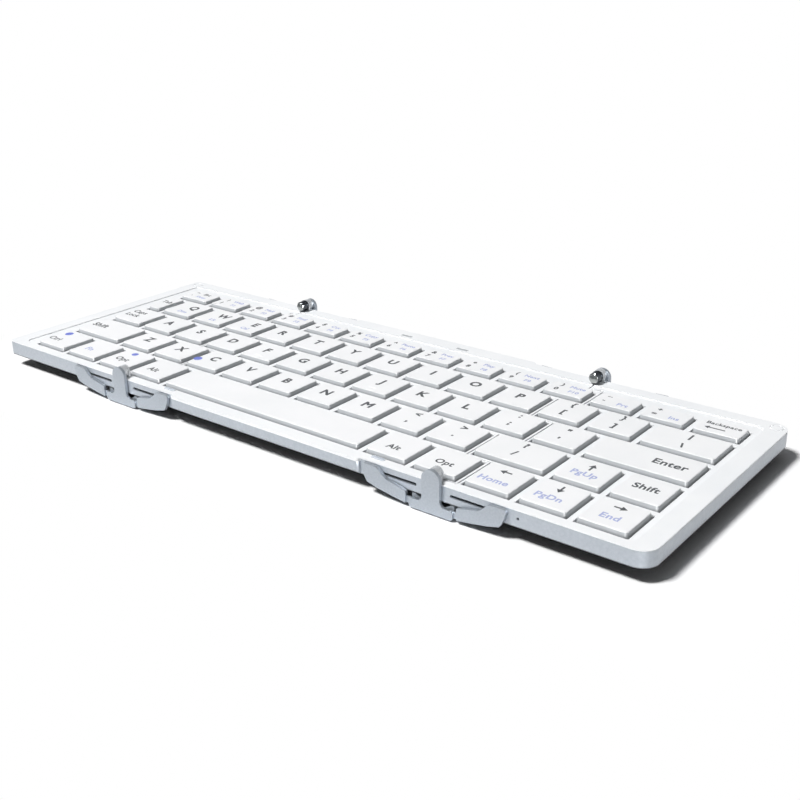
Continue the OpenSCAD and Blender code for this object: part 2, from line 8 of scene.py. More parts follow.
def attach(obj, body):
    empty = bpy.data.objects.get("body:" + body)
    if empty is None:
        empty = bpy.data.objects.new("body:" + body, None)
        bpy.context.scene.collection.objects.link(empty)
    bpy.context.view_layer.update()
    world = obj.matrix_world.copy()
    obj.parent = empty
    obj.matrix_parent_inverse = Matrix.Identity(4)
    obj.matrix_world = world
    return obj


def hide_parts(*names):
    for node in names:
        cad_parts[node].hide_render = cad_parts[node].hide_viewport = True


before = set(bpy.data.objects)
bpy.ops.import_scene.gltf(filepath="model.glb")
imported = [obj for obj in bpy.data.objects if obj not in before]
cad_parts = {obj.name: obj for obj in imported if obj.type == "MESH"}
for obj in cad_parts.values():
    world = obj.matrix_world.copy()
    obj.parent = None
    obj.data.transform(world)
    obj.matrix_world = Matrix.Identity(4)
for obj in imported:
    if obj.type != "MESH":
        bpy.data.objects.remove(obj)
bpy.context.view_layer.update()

mm = 0.001
print("frame loaded:", len(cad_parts), "nodes")

camera = {
    "azimuth": 38.14,      # degrees, 0 looks along +Y
    "elevation": 22.47,
    "roll": -0.56,
    "distance": 339.41,    # mm from the target
    "target": (21.34, -6.26, 9.0),
    "focal": 1113.49,      # in pixels of the frame
    "frame": 800,          # pixels
    "sensor": 36,          # mm
    "clip": (0.01, 50),    # m
}


def placeCamera(c):
    az, el, roll = (math.radians(c[k]) for k in ("azimuth", "elevation", "roll"))
    back = Vector((math.sin(az) * math.cos(el), -math.cos(az) * math.cos(el), math.sin(el)))
    right = Vector((0, 0, 1)).cross(back).normalized()
    up = back.cross(right)
    right, up = (math.cos(roll) * right + math.sin(roll) * up,
                 math.cos(roll) * up - math.sin(roll) * right)
    data = bpy.data.cameras.new("camera")
    data.sensor_width = c["sensor"]
    data.lens = c["focal"] / c["frame"] * c["sensor"]
    data.clip_start, data.clip_end = c["clip"]
    rig = bpy.data.objects.new("camera", data)
    bpy.context.collection.objects.link(rig)
    place = Matrix((right, up, back)).transposed().to_4x4()
    place.translation = (Vector(c["target"]) + back * c["distance"]) * mm
    rig.matrix_world = place
    bpy.context.scene.camera = rig


placeCamera(camera)
bpy.context.scene.view_settings.view_transform = "Standard"


def linearColour(hexText):
    # sRGB hex to linear light, opaque
    values = (int(hexText[i:i + 2], 16) / 255 for i in (1, 3, 5))
    return tuple(v / 12.92 if v <= 0.04045 else ((v + 0.055) / 1.055) ** 2.4 for v in values) + (1.0,)


def addNode(tree, kind, settings=None, **links):
    # settings: socket name or attribute -> value
    # links: input name with _ for a space, or _ and the input's number -> output socket
    node = tree.nodes.new(kind)
    for name, value in (settings or {}).items():
        if name in node.inputs:
            node.inputs[name].default_value = value
        else:
            setattr(node, name, value)
    for name, source in links.items():
        tree.links.new(source, node.inputs[int(name[1:]) if name[1:].isdigit() else name.replace("_", " ")])
    return node


def startMaterial(name, colour, **shader):
    material = bpy.data.materials.new(name)
    material.use_nodes = True
    material.diffuse_color = linearColour(colour)
    tree = material.node_tree
    surface = tree.nodes["Principled BSDF"]
    surface.inputs["Base Color"].default_value = linearColour(colour)
    for key, value in shader.items():
        surface.inputs[key.replace("_", " ")].default_value = value
    return material, tree, surface


def grainScale(size):
    # noise features per metre for grains of this many millimetres
    return 1 / (size * mm)


def grainedSurface(name, low, high, grain, bump, roughness, patch=18, roughSpread=0.06, **shader):
    # A finish with two parts: a slow drift between two colours over patches, and a fine grain
    # that breaks the highlight through bump and roughness. grain, bump and patch are in millimetres.
    material, tree, surface = startMaterial(name, high, **shader)
    place = addNode(tree, "ShaderNodeTexCoord").outputs["Object"]
    drift = addNode(tree, "ShaderNodeTexNoise",
                    {"Scale": grainScale(patch), "Detail": 3.0, "Roughness": 0.55}, Vector=place)
    ramp = addNode(tree, "ShaderNodeValToRGB", Fac=drift.outputs["Fac"])
    for stop, share, colour in zip(ramp.color_ramp.elements, (0.3, 0.7), (low, high)):
        stop.position = share
        stop.color = linearColour(colour)
    tree.links.new(ramp.outputs["Color"], surface.inputs["Base Color"])
    fine = addNode(tree, "ShaderNodeTexNoise",
                   {"Scale": grainScale(grain), "Detail": 2.0, "Roughness": 0.6}, Vector=place)
    spread = addNode(tree, "ShaderNodeMapRange",
                     {"From Min": 0.25, "From Max": 0.75,
                      "To Min": roughness - roughSpread, "To Max": roughness + roughSpread},
                     Value=fine.outputs["Fac"])
    tree.links.new(spread.outputs["Result"], surface.inputs["Roughness"])
    relief = addNode(tree, "ShaderNodeBump", {"Strength": 1.0, "Distance": bump * mm},
                     Height=fine.outputs["Fac"])
    tree.links.new(relief.outputs["Normal"], surface.inputs["Normal"])
    return material


def bandBelow(material, levels, colour, axis="Z"):
    # Below the lower level the finish has another colour, and between the two levels it blends.
    # Levels are millimetres along an axis of the object, so they stay with it as it moves.
    tree = material.node_tree
    socket = tree.nodes["Principled BSDF"].inputs["Base Color"]
    place = addNode(tree, "ShaderNodeTexCoord").outputs["Object"]
    along = addNode(tree, "ShaderNodeSeparateXYZ", None, Vector=place).outputs[axis]
    share = addNode(tree, "ShaderNodeMapRange", {"From Min": levels[1] * mm, "From Max": levels[0] * mm},
                    Value=along).outputs["Result"]
    # a colour mix takes its share at input 0 and its colours at 6 and 7, and gives output 2
    mix = addNode(tree, "ShaderNodeMix", {"data_type": "RGBA"}, _0=share, _6=socket.links[0].from_socket)
    mix.inputs[7].default_value = linearColour(colour)
    tree.links.new(mix.outputs[2], socket)


# ABS moulded against a spark-eroded tool: an even matt white with a faint cool drift
deckWhite = grainedSurface("mouldedWhiteAbs", "#eef0f2", "#f5f6f7", grain=0.28, bump=0.006, roughness=0.46)
# the keys' own ABS is a little glossier, so that their edges catch the light
keyWhite = grainedSurface("satinKeycapAbs", "#f1f2f3", "#f7f7f8", grain=0.22, bump=0.004, roughness=0.36)
# their skirts are painted pale grey as shade below the lit tops, and greyer down in the openings as painted
# shade at their feet, which outlines each white top
bandBelow(keyWhite, (9.55, 9.8), "#c6c9cc")
bandBelow(keyWhite, (8.5, 9.1), "#a2a5a8")
# silver lacquer with fine flakes over the moulded case, which glints without mirroring
caseSilver = grainedSurface("silverLacqueredCase", "#abb2ba", "#b7bdc4", grain=0.3, bump=0.01, roughness=0.36,
                            patch=0.9, Metallic=0.4, Coat_Weight=0.25, Coat_Roughness=0.25)
# painted shade: below 4.3 mm, blending up to 4.5 mm, the case is near black, to darken the shade under it
bandBelow(caseSilver, (4.3, 4.5), "#2e3032")
# zinc, tumbled and plated satin: a shade darker than the case, more metallic, softer at its edges
hingeZinc = grainedSurface("satinPlatedZinc", "#a3aab2", "#b0b6bd", grain=0.3, bump=0.01, roughness=0.34,
                           patch=0.6, Metallic=0.6)
# polished steel with its colour painted dark as shade, for the dark band between the rear heads and their
# bracket: dark, with hard streaks of whatever is bright around it
pinSteel = grainedSurface("polishedPinSteel", "#4b4e52", "#5d6165", grain=0.3, bump=0.001, roughness=0.16,
                          patch=3, roughSpread=0.03, Metallic=1.0)
# it keeps a bright steel colour on the rear heads' inner ends, and all over the front pins
bandBelow(pinSteel, (39.8, 39.95), "#b4b7b5", axis="Y")
# stamped spring steel, plated pale, with a satin shine
leafSteel = grainedSurface("satinSpringSteel", "#cfd2d5", "#dee0e2", grain=0.25, bump=0.003, roughness=0.3,
                           patch=5, Metallic=0.5)
# screws and socket shell in bright nickel
nickel = grainedSurface("brightNickelPlate", "#a5a8a6", "#c4c6c3", grain=0.3, bump=0.001, roughness=0.2,
                        patch=4, roughSpread=0.04, Metallic=1.0)
# glass-filled nylon spine: grey, clouded paler where the fibres lie near the skin
spineNylon = grainedSurface("glassFilledNylon", "#7d838a", "#9299a0", grain=0.35, bump=0.008, roughness=0.5,
                            patch=4)
# moulded silicone rubber feet, dull and nearly black
footRubber = grainedSurface("mouldedFootRubber", "#232527", "#303234", grain=0.3, bump=0.01, roughness=0.75,
                            patch=6)
# pale grey silicone dome sheet, satin to the eye
domeSilicone = grainedSurface("milkySiliconeSheet", "#cfd4d8", "#dfe3e6", grain=0.4, bump=0.004,
                              roughness=0.42, patch=8)
# glass board under green solder mask, mottled by the weave below it
boardMask = grainedSurface("greenSolderMask", "#1f5c3c", "#2d7650", grain=0.3, bump=0.004, roughness=0.3,
                           patch=1.2)
# pouch cell in dull aluminium foil
cellFoil = grainedSurface("crimpedCellFoil", "#a9acae", "#c2c4c5", grain=0.9, bump=0.02, roughness=0.33,
                          patch=3, Metallic=0.9)
# flexible polyimide cable, amber with a slight shine
flexAmber = grainedSurface("amberPolyimideFlex", "#8f5a1e", "#a86b26", grain=0.3, bump=0.001, roughness=0.28,
                           patch=2.5)
# smoked acrylic over the lights: it looks like a grey stroke in the deck until a light is on
smokedWindow = grainedSurface("smokedAcrylicWindow", "#a9adb1", "#b7bbbe", grain=0.3, bump=0.001,
                              roughness=0.2, patch=1.5)
# pad-printed ink stands a hair over the plastic and dries matt
darkInk = grainedSurface("darkPadPrintInk", "#484b4e", "#535659", grain=0.15, bump=0.002, roughness=0.55,
                         patch=1.5)
blueInk = grainedSurface("bluePadPrintInk", "#a9b1d8", "#b1b8dc", grain=0.15, bump=0.002, roughness=0.55,
                         patch=1.5)
# the few round marks are printed in a stronger blue
markInk = grainedSurface("strongBluePadPrintInk", "#6878cf", "#7886d6", grain=0.15, bump=0.002, roughness=0.5,
                         patch=1.5)
# clear silicone bumpers on the front rim, faintly blue and shiny
clearSilicone = grainedSurface("clearSiliconeBumper", "#b3bcc8", "#c3cbd6", grain=0.4, bump=0.002,
                               roughness=0.16, patch=1.5, Coat_Weight=0.5, Coat_Roughness=0.1)
print("materials made:", len(bpy.data.materials))


# edge radius in millimetres, by the words of a node's name
edgeSoftening = {
    "deck": 0.2, "case": 0.14, "brackets": 0.22, "links": 0.14, "spine": 0.15, "feet": 0.12,
    "leaves": 0.05, "pins": 0.14, "screws": 0.1, "socket": 0.12, "battery": 0.3,
}
edgeCut = {
    "weld": 0.01,      # mm between points that are one
    "flat": 1,         # degrees under which two faces are one
    "sharp": 35,       # degrees over which an edge is rounded
    "segments": 2,
}
finishWords = [("deck", deckWhite), ("case", caseSilver), ("dome", domeSilicone), ("board", boardMask),
               ("battery", cellFoil), ("socket", nickel), ("lights", smokedWindow), ("ribbon", flexAmber),
               ("leaves", leafSteel), ("pins", pinSteel), ("screws", nickel), ("feet", footRubber),
               ("spine", spineNylon), ("brackets", hingeZinc), ("links", hingeZinc), ("key", keyWhite)]


def smoothShading(piece):
    # normals lean towards the larger faces, so that flats stay flat beside their rounded edges
    shade = piece.modifiers.new("shade", "WEIGHTED_NORMAL")
    shade.keep_sharp = True


def dressNode(name, node):
    finish = next(m for word, m in finishWords if word in name)
    node.data.materials.clear()
    node.data.materials.append(finish)
    radius = next((r for word, r in edgeSoftening.items() if word in name), None)
    if radius:
        weld = node.modifiers.new("weld", "WELD")
        weld.merge_threshold = edgeCut["weld"] * mm
        flat = node.modifiers.new("flat faces", "DECIMATE")
        flat.decimate_type = "DISSOLVE"
        flat.angle_limit = math.radians(edgeCut["flat"])
        edge = node.modifiers.new("edge", "BEVEL")
        edge.width = radius * mm
        edge.segments = edgeCut["segments"]
        edge.limit_method = "ANGLE"
        edge.angle_limit = math.radians(edgeCut["sharp"])
        smoothShading(node)


for name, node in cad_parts.items():
    dressNode(name, node)
print("CAD nodes dressed")


# millimetres, apart from columns and cornerShrink
keyField = {
    "columns": 14, "pitch": 16.5, "rowPitch": 16.5, "topRow": 11.6,
    "shift": 1.4,          # the field's middle against the keyboard's
    "front": -42.05,       # where the first row starts
    "valley": 2.3, "rowValley": 2.5,
    "top": 9.9, "height": 2.1, "crown": 0.9, "wall": 1.6,
    "draft": 0.4,          # how far the outer wall leans in over the key's height
    "edge": 0.22,          # radius of the top's edge
    "corner": 1.2, "cornerShrink": 0.35, "cornerLeast": 0.3,
    "underSoft": 0.1,      # bevel between the crown's underside and the inner wall
    "wallDraft": 0.15, "footDraft": 0.2,     # how far the inner wall leans out above the foot, and at it
    "footSoft": 0.06,      # bevel of the foot
}


def keyRun(start, count):
    # keys one pitch wide, as (start, width) in pitches
    return [(start + i, 1) for i in range(count)]


# rows from the front, each key as (start, width) in pitches
keyRows = [
    keyRun(0, 4) + [(4, 5)] + keyRun(9, 5),
    [(0, 1.5)] + keyRun(1.5, 9) + [(10.5, 1.5)] + keyRun(12, 2),
    keyRun(0, 12) + [(12, 2)],
    [(0, 0.5)] + keyRun(0.5, 12) + [(12.5, 1.5)],
    keyRun(0, 14),
]
# CAD node -> keys as (row, first, last)
keyNodes = {
    "esc_key": [(4, 0, 0)], "backspace_key": [(4, 13, 13)],
    "tab_key": [(3, 0, 0)], "backslash_key": [(3, 13, 13)],
    "caps_lock_key": [(2, 0, 0)], "enter_key": [(2, 12, 12)],
    "left_shift_key": [(1, 0, 0)], "slash_key": [(1, 10, 10)],
    "up_arrow_key": [(1, 11, 11)], "right_shift_key": [(1, 12, 12)],
    "ctrl_key": [(0, 0, 0)], "fn_key": [(0, 1, 1)],
    "left_option_key": [(0, 2, 2)], "left_alt_key": [(0, 3, 3)],
    "space_key": [(0, 4, 4)], "right_alt_key": [(0, 5, 5)],
    "right_option_key": [(0, 6, 6)], "left_arrow_key": [(0, 7, 7)],
    "down_arrow_key": [(0, 8, 8)], "right_arrow_key": [(0, 9, 9)],
    "left_letter_keys": [(4, 1, 2), (3, 1, 3), (2, 1, 2), (1, 1, 2)],
    "middle_number_keys": [(4, 3, 10)],
    "middle_upper_letter_keys": [(3, 4, 10)],
    "middle_lower_letter_keys": [(2, 3, 10), (1, 3, 9)],
    "right_symbol_keys": [(4, 11, 12), (3, 11, 12), (2, 11, 11)],
}
# two keys carry a bar for the fingertips to find
homingKeys = {(2, 4), (2, 7)}
homingBar = {
    "half": (1.6, 0.25), "base": keyField["top"], "height": 0.14, "edge": 0.2, "steps": 5,
    "sunk": 0.12,          # how far it reaches down into the cap, mm
    "forward": 0.3,        # how far it lies in front of the key's middle, as a share of the key's depth
}


def rowEdge(row):
    k = keyField
    return k["front"] + (row * k["rowPitch"] if row < 5 else 4 * k["rowPitch"] + k["topRow"])


def keyCentre(row, index):
    start, wide = keyRows[row][index]
    return ((start + wide / 2 - keyField["columns"] / 2) * keyField["pitch"] + keyField["shift"],
            (rowEdge(row) + rowEdge(row + 1)) / 2)


def keyFoot(row, index):
    wide = keyRows[row][index][1] * keyField["pitch"] - keyField["valley"]
    return wide, rowEdge(row + 1) - rowEdge(row) - keyField["rowValley"]


def ringAt(halfX, halfY, radius, height, steps=6):
    # A rectangle's outline with quarter-circle corners, walked anticlockwise at one height:
    # point = corner centre + radius * (cos t, sin t), and four corners in turn.
    t = np.concatenate([np.linspace(q, q + 1, steps + 1) * math.pi / 2 for q in range(4)])
    sx = np.repeat([1, -1, -1, 1], steps + 1)
    sy = np.repeat([1, 1, -1, -1], steps + 1)
    return np.column_stack([sx * (halfX - radius) + radius * np.cos(t),
                            sy * (halfY - radius) + radius * np.sin(t), np.full(len(t), height)])


def loftRings(rings):
    # Rings of equal length (levels x around x 3) become a closed skin of quads, with a
    # fan to the middle point of the first and last ring.
    rings = np.asarray(rings)
    levels, around = rings.shape[:2]
    index = np.arange(levels * around).reshape(levels, around)
    nxt = np.roll(index, -1, axis=1)
    quads = np.stack([index[:-1], nxt[:-1], nxt[1:], index[1:]], -1).reshape(-1, 4)
    points = rings.reshape(-1, 3)
    faces = [tuple(q) for q in quads.tolist()]
    for ring, turn in ((0, -1), (levels - 1, 1)):
        points = np.vstack([points, rings[ring].mean(0)])
        tip = len(points) - 1
        pairs = np.stack([index[ring], nxt[ring]], 1)[:, ::turn]
        faces += [(a, b, tip) for a, b in pairs.tolist()]
    return points, faces


def keycapRings(halfX, halfY):
    # The section from under the top, down the inner wall, round the foot, up the drafted
    # outer wall, over a quarter-round edge and in to the crown. Each ring is a rounded
    # rectangle: half size less the section's inset, at the section's height.
    k = keyField
    top, foot, under = k["top"], k["top"] - k["height"], k["top"] - k["crown"]
    wall, edge = k["wall"], k["edge"]
    wallTop = top - edge
    wallInset = k["draft"] / k["height"] * (wallTop - foot)
    section = [(wall + k["underSoft"], under), (wall, under - k["underSoft"]),
               (wall - k["wallDraft"], foot + k["footSoft"]), (wall - k["footDraft"], foot),
               (k["footSoft"], foot), (0, foot + k["footSoft"])]
    section += [(wallInset + edge * (1 - math.cos(a)), wallTop + edge * math.sin(a))
                for a in np.linspace(0, math.pi / 2, 6)]
    rings = [ringAt(halfX - inset, halfY - inset,
                    max(k["corner"] - inset * k["cornerShrink"], k["cornerLeast"]), height)
             for inset, height in section]
    # underside and top close towards their middles in shrinking copies of their edges
    return ([rings[0] * (share, share, 1) for share in (0.2, 0.6)] + rings
            + [rings[-1] * (share, share, 1) for share in (0.9, 0.55, 0.2)])


def lowBarRings(bar):
    # A low bar with a rounded back, as a goes through a quarter turn:
    # inset = edge * (1 - cos a), height = base + height * sin a, with nearly half-round ends.
    halfX, halfY = bar["half"]
    rings = []
    for a in np.linspace(0, math.pi / 2, bar["steps"]):
        inset = bar["edge"] * (1 - math.cos(a))
        rings.append(ringAt(halfX - inset, halfY - inset, (halfY - inset) * 0.98,
                            bar["base"] + bar["height"] * math.sin(a)))
    return rings


def makeMesh(name, parts, finish, smooth=True):
    # parts: (points in millimetres, faces); all go into one mesh in metres
    points, faces, start = [], [], 0
    for partPoints, partFaces in parts:
        points.append(partPoints)
        faces += [tuple(i + start for i in f) for f in partFaces]
        start += len(partPoints)
    mesh = bpy.data.meshes.new(name)
    mesh.from_pydata((np.vstack(points) * mm).tolist(), [], faces)
    mesh.polygons.foreach_set("use_smooth", np.full(len(faces), smooth))
    mesh.materials.append(finish)
    mesh.update()
    piece = bpy.data.objects.new(name, mesh)
    bpy.context.collection.objects.link(piece)
    return piece


def nodeBody(name):
    # esc_key is on the body esc, and left_letter_keys on left_letter
    return name.rsplit("_key", 1)[0]


def keycapPiece(nodeName, groups):
    parts = []
    for row, first, last in groups:
        for i in range(first, last + 1):
            cx, cy = keyCentre(row, i)
            wide, deep = keyFoot(row, i)
            points, faces = loftRings(keycapRings(wide / 2, deep / 2))
            parts.append((points + (cx, cy, 0), faces))
            if (row, i) in homingKeys:
                rings = lowBarRings(homingBar)
                points, faces = loftRings([rings[0] - (0, 0, homingBar["sunk"])] + rings)
                parts.append((points + (cx, cy - deep * homingBar["forward"], 0), faces))
    cap = makeMesh(nodeName.replace("_key", "_cap"), parts, keyWhite)
    smoothShading(cap)
    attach(cap, nodeBody(nodeName))
    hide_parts(nodeName)


for nodeName, groups in keyNodes.items():
    keycapPiece(nodeName, groups)
print("keycaps lofted:", sum(last - first + 1 for g in keyNodes.values() for _, first, last in g))


printing = {
    "heavy": 0.18,        # how far the strokes of a letter are thickened, mm
    "heavyAt": 4.3,       # the type size that this is for, mm
    "wordShare": 0.7,     # how much of it a word gets
    "spacing": 1.06,
    "ink": 0.012,         # thickness of the ink, mm
    "lift": 0.002,        # gap under it, so that it doesn't share a face with the cap, mm
    "right": -0.6,        # the legends' middle against a key's middle, mm
    "back": 0.7,
}
typeSizes = {             # mm
    "letter": 4.8, "enter": 4.29, "word": 3.9, "symbol": 3.8, "blueWord": 3.51, "shortWord": 3.38,
    "capsLock": 3.25, "tab": 3.12, "pair": 2.73, "small": 2.6, "topWord": 2.47, "backspace": 2.4,
    "number": 2.34, "sleep": 2.21,
}
inks = {"dark": darkInk, "blue": blueInk, "strong_blue": markInk}
symbolPairs = {
    ";": ":", "'": '"', ",": "<", ".": ">", "/": "?", "[": "{", "]": "}", "\\": "|", "-": "_", "=": "+",
    "1": "!", "2": "@", "3": "#", "4": "$", "5": "%", "6": "^", "7": "&", "8": "*", "9": "(", "0": ")",
}
rowLegends = {1: "ZXCVBNM,.", 2: "ASDFGHJKL;'", 3: "QWERTYUIOP[]", 4: "1234567890-="}
topWords = ["Web", "Mail", "Find", "Cut", "Copy", "Paste", "Prev", "Play", "Next", "Mute"]
lastTopWords = ["Prt", "Ins"]
lowWords = {"Q": "Dim", "W": "Lit", "E": "Cal"}
# (row, key, text, x, y, type size, ink); places are from the key's middle
wordLegends = [
    (4, 0, "Esc", 2.2, 1.5, "small", "dark"), (4, 0, "`", -3.4, -1.9, "small", "dark"),
    (4, 0, "~", -3.0, 1.6, "small", "dark"), (4, 0, "Sleep", 2.0, -2.2, "sleep", "blue"),
    (4, 13, "Backspace", 0.7, 1.3, "backspace", "dark"), (3, 0, "Tab", 0.2, 0.2, "tab", "dark"),
    (3, 13, "\\", 0.7, -3.8, "symbol", "dark"), (3, 13, "|", 0.6, 2.4, "symbol", "dark"),
    (2, 0, "Caps", -2.2, 1.8, "capsLock", "dark"), (2, 0, "Lock", -2.2, -1.6, "capsLock", "dark"),
    (2, 12, "Enter", 7.8, -0.4, "enter", "dark"), (1, 0, "Shift", -6.1, 0.0, "word", "dark"),
    (1, 10, "/", -0.3, -2.4, "symbol", "dark"), (1, 10, "?", 0.0, 3.3, "symbol", "dark"),
    (1, 11, "PgUp", 0.5, -2.7, "blueWord", "blue"), (1, 12, "Shift", 0.5, 0.0, "word", "dark"),
    (0, 0, "Ctrl", -3.3, -2.3, "capsLock", "dark"), (0, 1, "Fn", -1.0, -2.0, "blueWord", "blue"),
    (0, 2, "Opt", -0.4, -2.2, "shortWord", "dark"), (0, 3, "Alt", -0.9, -2.2, "shortWord", "dark"),
    (0, 5, "Alt", 0.0, -2.4, "shortWord", "dark"), (0, 6, "Opt", 0.5, -2.4, "shortWord", "dark"),
    (0, 7, "Home", 0.1, -3.0, "blueWord", "blue"), (0, 8, "PgDn", -0.3, -2.9, "blueWord", "blue"),
    (0, 9, "End", 0.4, -2.6, "blueWord", "blue"),
]
arrowStyle = {
    "stroke": 0.3,        # half the stroke's width, mm
    "slope": 1.5,         # the head's length over half its width
}
# (row, key, x, y, angle, length, half the head's width)
arrows = [
    (0, 7, 0.3, 2.7, 180, 3.7, 1.15), (0, 8, 0.3, 2.7, 270, 3.7, 1.15), (0, 9, 0.5, 2.7, 0, 3.7, 1.15),
    (1, 11, 0.4, 2.0, 90, 3.7, 1.15), (4, 13, -0.9, -1.8, 180, 6.2, 0.95),
]
# small round marks: (row, key, x, y, radius)
roundMarks = [(0, 0, -3.3, 3.4, 1.5), (0, 2, -0.4, 3.4, 1.2), (1, 3, -5.2, -3.0, 1.5)]


def textPart(text, size):
    # the text's outline as a mesh, taken before its place is applied
    curve = bpy.data.curves.new("legend", "FONT")
    curve.body = text
    curve.size = size
    curve.align_x = "CENTER"
    curve.align_y = "CENTER"
    share = printing["wordShare"] if len(text) > 1 else 1
    curve.bevel_depth = printing["heavy"] * size / printing["heavyAt"] * share
    curve.bevel_resolution = 0
    curve.resolution_u = 3
    curve.space_character = printing["spacing"]
    holder = bpy.data.objects.new("legend", curve)
    bpy.context.collection.objects.link(holder)
    bpy.context.view_layer.update()
    made = holder.evaluated_get(bpy.context.evaluated_depsgraph_get()).to_mesh()
    points = np.empty(len(made.vertices) * 3)
    made.vertices.foreach_get("co", points)
    points = points.reshape(-1, 3)
    faces = [tuple(p.vertices) for p in made.polygons]
    bpy.data.objects.remove(holder)
    bpy.data.curves.remove(curve)
    low, high = points.min(0), points.max(0)
    points = points - (*((low + high) / 2)[:2], 0)
    points[:, 2] *= printing["ink"] / (high[2] - low[2])
    return points, faces


def platePart(outline):
    # a flat outline given anticlockwise, raised to a plate as thick as the ink
    outline = np.asarray(outline, float)
    count = len(outline)
    half = printing["ink"] / 2
    points = np.vstack([np.column_stack([outline, np.full(count, z)]) for z in (-half, half)])
    sides = [(i, (i + 1) % count, count + (i + 1) % count, count + i) for i in range(count)]
    return points, [tuple(range(count))[::-1], tuple(range(count, 2 * count))] + sides


def arrowOutline(length, head, angle):
    # an arrow along +X with its middle at the origin, turned by an angle in degrees
    half, stroke = length / 2, arrowStyle["stroke"]
    neck = half - head * arrowStyle["slope"]
    shape = np.array([(half, 0), (neck, head), (neck, stroke), (-half, stroke),
                      (-half, -stroke), (neck, -stroke), (neck, -head)])
    a = math.radians(angle)
    return shape @ np.array([(math.cos(a), math.sin(a)), (-math.sin(a), math.cos(a))])


def discOutline(radius):
    # radius * (cos t, sin t) once round
    t = np.linspace(0, 2 * math.pi, 24, endpoint=False)
    return np.stack([radius * np.cos(t), radius * np.sin(t)], 1)


textStore = {}
prints = {}            # (row, key, ink) -> parts in place
inkZ = keyField["top"] + printing["ink"] / 2 + printing["lift"]


def addPrint(row, key, ink, part, x, y):
    points, faces = part
    cx, cy = keyCentre(row, key)
    placed = points + (cx + x + printing["right"], cy + y + printing["back"], inkZ)
    prints.setdefault((row, key, ink), []).append((placed, faces))


def addLegend(row, key, text, x, y, sizeName, ink="dark"):
    if (text, sizeName) not in textStore:
        textStore[text, sizeName] = textPart(text, typeSizes[sizeName])
    addPrint(row, key, ink, textStore[text, sizeName], x, y)


for row, signs in rowLegends.items():
    for i, sign in enumerate(signs):
        key = i + 1
        if row == 4:
            addLegend(row, key, sign, -3.0, -1.9, "pair")
            addLegend(row, key, symbolPairs[sign], -2.7, 1.7, "pair")
            if i < len(topWords):
                addLegend(row, key, "F%d" % (i + 1), 3.1, -1.9, "number", "blue")
                addLegend(row, key, topWords[i], 2.8, 1.7, "topWord", "blue")
            else:
                addLegend(row, key, lastTopWords[i - len(topWords)], 3.4, -2.2, "pair", "blue")
        elif sign in symbolPairs:
            addLegend(row, key, sign, 0.1, -3.1, "symbol")
            addLegend(row, key, symbolPairs[sign], 0.1, 3.2, "symbol")
        elif sign in lowWords:
            addLegend(row, key, sign, 2.4, 0.4, "letter")
            addLegend(row, key, lowWords[sign], 1.4, -4.4, "small", "blue")
        else:
            addLegend(row, key, sign, 0.0, 0.0, "letter")
for legend in wordLegends:
    addLegend(*legend)
for row, key, x, y, angle, length, head in arrows:
    addPrint(row, key, "dark", platePart(arrowOutline(length, head, angle)), x, y)
for row, key, x, y, radius in roundMarks:
    addPrint(row, key, "strong_blue", platePart(discOutline(radius)), x, y)

for nodeName, groups in keyNodes.items():
    for ink, finish in inks.items():
        parts = [part for row, first, last in groups for i in range(first, last + 1)
                 for part in prints.get((row, i, ink), [])]
        if parts:
            piece = makeMesh(nodeName.replace("_key", "_" + ink + "_print"), parts, finish, smooth=False)
            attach(piece, nodeBody(nodeName))
print("legends printed")


# a clear skin over each low pad of the front rim, so that its ends and back are round
restPads = {"x": 42, "y": -42.4, "half": (2.36, 0.66), "base": 8.98, "height": 0.31, "edge": 0.26, "steps": 6}

for side, sign in (("left", -1), ("right", 1)):
    points, faces = loftRings(lowBarRings(restPads))
    placed = points + (sign * restPads["x"], restPads["y"], 0)
    pad = makeMesh(side + "_rest_pad", [(placed, faces)], clearSilicone)
    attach(pad, "middle_panel")
print("rest pads made")


studio = {
    "floorColour": "#ffffff",
    "floorHalf": 12.0,     # half the floor's side, m
    "floorPoints": 5,      # along each side
    "floorDrop": 0.0002,   # how far it lies under the feet, m
    "roomTint": (0.95, 0.97, 1.0, 1.0),
    "zenith": 0.16,        # strength of the room's light from above
    "dim": (0.1, 0.85),    # sine of the elevation at which it starts, and at which it is full
    "gloss": (1.0, 0.3),   # what gloss sees of the room at the horizon and overhead
    "glossHigh": 0.7,      # sine of the elevation from which that counts as overhead
    "shadowArea": (0.1245, 0.0465),   # half the ground that keeps its shadows, m
    "paper": (0.003, 0.028),          # beyond it the floor turns to plain white between these distances, m
    "lamps": [
        # name, place in metres, size in metres, watts, whether it lights more than gloss
        ("keySoftbox", (-0.48, -0.98, 1.9), 0.42, 53, True),
        ("cornerStrip", (0.85, -1.05, 0.2), 0.25, 35, False),
    ],
}


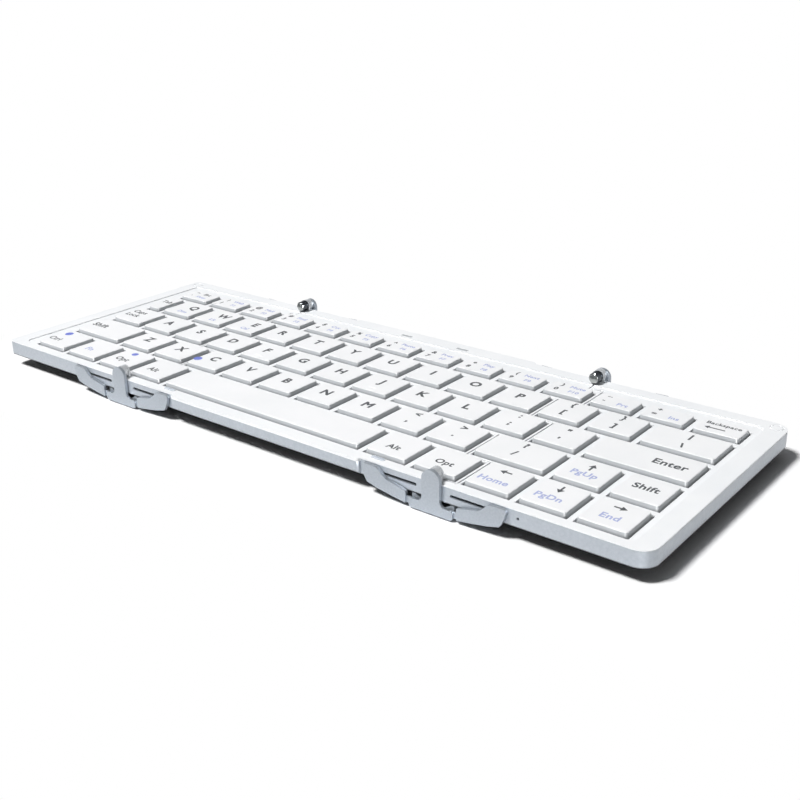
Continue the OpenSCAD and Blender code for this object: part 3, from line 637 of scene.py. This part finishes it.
def makeFloor():
    count = studio["floorPoints"]
    line = np.linspace(-studio["floorHalf"], studio["floorHalf"], count)
    gx, gy = np.meshgrid(line, line)
    points = np.column_stack([gx.ravel(), gy.ravel(), np.full(count ** 2, -studio["floorDrop"])])
    faces = [(r * count + c, r * count + c + 1, (r + 1) * count + c + 1, (r + 1) * count + c)
             for r in range(count - 1) for c in range(count - 1)]
    mesh = bpy.data.meshes.new("floor")
    mesh.from_pydata(points.tolist(), [], faces)
    floor = bpy.data.objects.new("floor", mesh)
    bpy.context.collection.objects.link(floor)
    material, tree, surface = startMaterial("seamlessWhitePaper", studio["floorColour"], Roughness=1.0,
                                            Specular_IOR_Level=0.0)
    # away from the keyboard the paper is as white as the background, for eyes and for gloss
    place = addNode(tree, "ShaderNodeTexCoord").outputs["Object"]
    mirrored = addNode(tree, "ShaderNodeVectorMath", {"operation": "ABSOLUTE"}, _0=place).outputs["Vector"]
    beyond = addNode(tree, "ShaderNodeVectorMath", {"operation": "SUBTRACT"}, _0=mirrored)
    beyond.inputs[1].default_value = (*studio["shadowArea"], 0)
    sides = addNode(tree, "ShaderNodeSeparateXYZ", None, Vector=beyond.outputs["Vector"])
    away = addNode(tree, "ShaderNodeMath", {"operation": "MAXIMUM"},
                   _0=sides.outputs["X"], _1=sides.outputs["Y"])
    near, far = studio["paper"]
    share = addNode(tree, "ShaderNodeMapRange",
                    {"interpolation_type": "SMOOTHSTEP", "From Min": near, "From Max": far},
                    Value=away.outputs[0])
    path = addNode(tree, "ShaderNodeLightPath")
    seen = addNode(tree, "ShaderNodeMath", {"operation": "MAXIMUM"},
                   _0=path.outputs["Is Camera Ray"], _1=path.outputs["Is Glossy Ray"])
    both = addNode(tree, "ShaderNodeMath", {"operation": "MULTIPLY"},
                   _0=share.outputs["Result"], _1=seen.outputs[0])
    glow = addNode(tree, "ShaderNodeEmission", {"Strength": 1.0})
    mix = addNode(tree, "ShaderNodeMixShader", None,
                  _0=both.outputs[0], _1=surface.outputs[0], _2=glow.outputs[0])
    tree.links.new(mix.outputs[0], tree.nodes["Material Output"].inputs["Surface"])
    mesh.materials.append(material)


def makeWorld():
    world = bpy.data.worlds.new("studio")
    bpy.context.scene.world = world
    world.use_nodes = True
    tree = world.node_tree
    tree.nodes.clear()
    path = addNode(tree, "ShaderNodeLightPath")
    seen = addNode(tree, "ShaderNodeMath", {"operation": "MAXIMUM"},
                   _0=path.outputs["Is Camera Ray"], _1=path.outputs["Is Transmission Ray"])
    # in a world, Generated is the direction, and its Z is the sine of the elevation
    direction = addNode(tree, "ShaderNodeTexCoord").outputs["Generated"]
    height = addNode(tree, "ShaderNodeSeparateXYZ", None, Vector=direction).outputs["Z"]
    low, high = studio["dim"]
    level = addNode(tree, "ShaderNodeMapRange",
                    {"From Min": low, "From Max": high, "To Max": studio["zenith"]}, Value=height)
    horizon, overhead = studio["gloss"]
    shine = addNode(tree, "ShaderNodeMapRange",
                    {"From Max": studio["glossHigh"], "To Min": horizon, "To Max": overhead}, Value=height)
    chosen = addNode(tree, "ShaderNodeMix", None, _0=path.outputs["Is Glossy Ray"],
                     _2=level.outputs["Result"], _3=shine.outputs["Result"])
    room = addNode(tree, "ShaderNodeBackground", {"Color": studio["roomTint"]}, Strength=chosen.outputs[0])
    white = addNode(tree, "ShaderNodeBackground", {"Color": (1.0, 1.0, 1.0, 1.0), "Strength": 1.0})
    mix = addNode(tree, "ShaderNodeMixShader", None,
                  _0=seen.outputs[0], _1=room.outputs[0], _2=white.outputs[0])
    addNode(tree, "ShaderNodeOutputWorld", None, Surface=mix.outputs[0])


def makeLamps():
    for name, place, size, power, full in studio["lamps"]:
        data = bpy.data.lights.new(name, "AREA")
        data.shape = "SQUARE"
        data.size = size
        data.energy = power
        lamp = bpy.data.objects.new(name, data)
        bpy.context.collection.objects.link(lamp)
        lamp.rotation_euler = (-Vector(place)).to_track_quat("-Z", "Y").to_euler()     # aimed at the origin
        lamp.location = place
        lamp.visible_diffuse = full


makeFloor()
makeWorld()
makeLamps()
print("studio set")
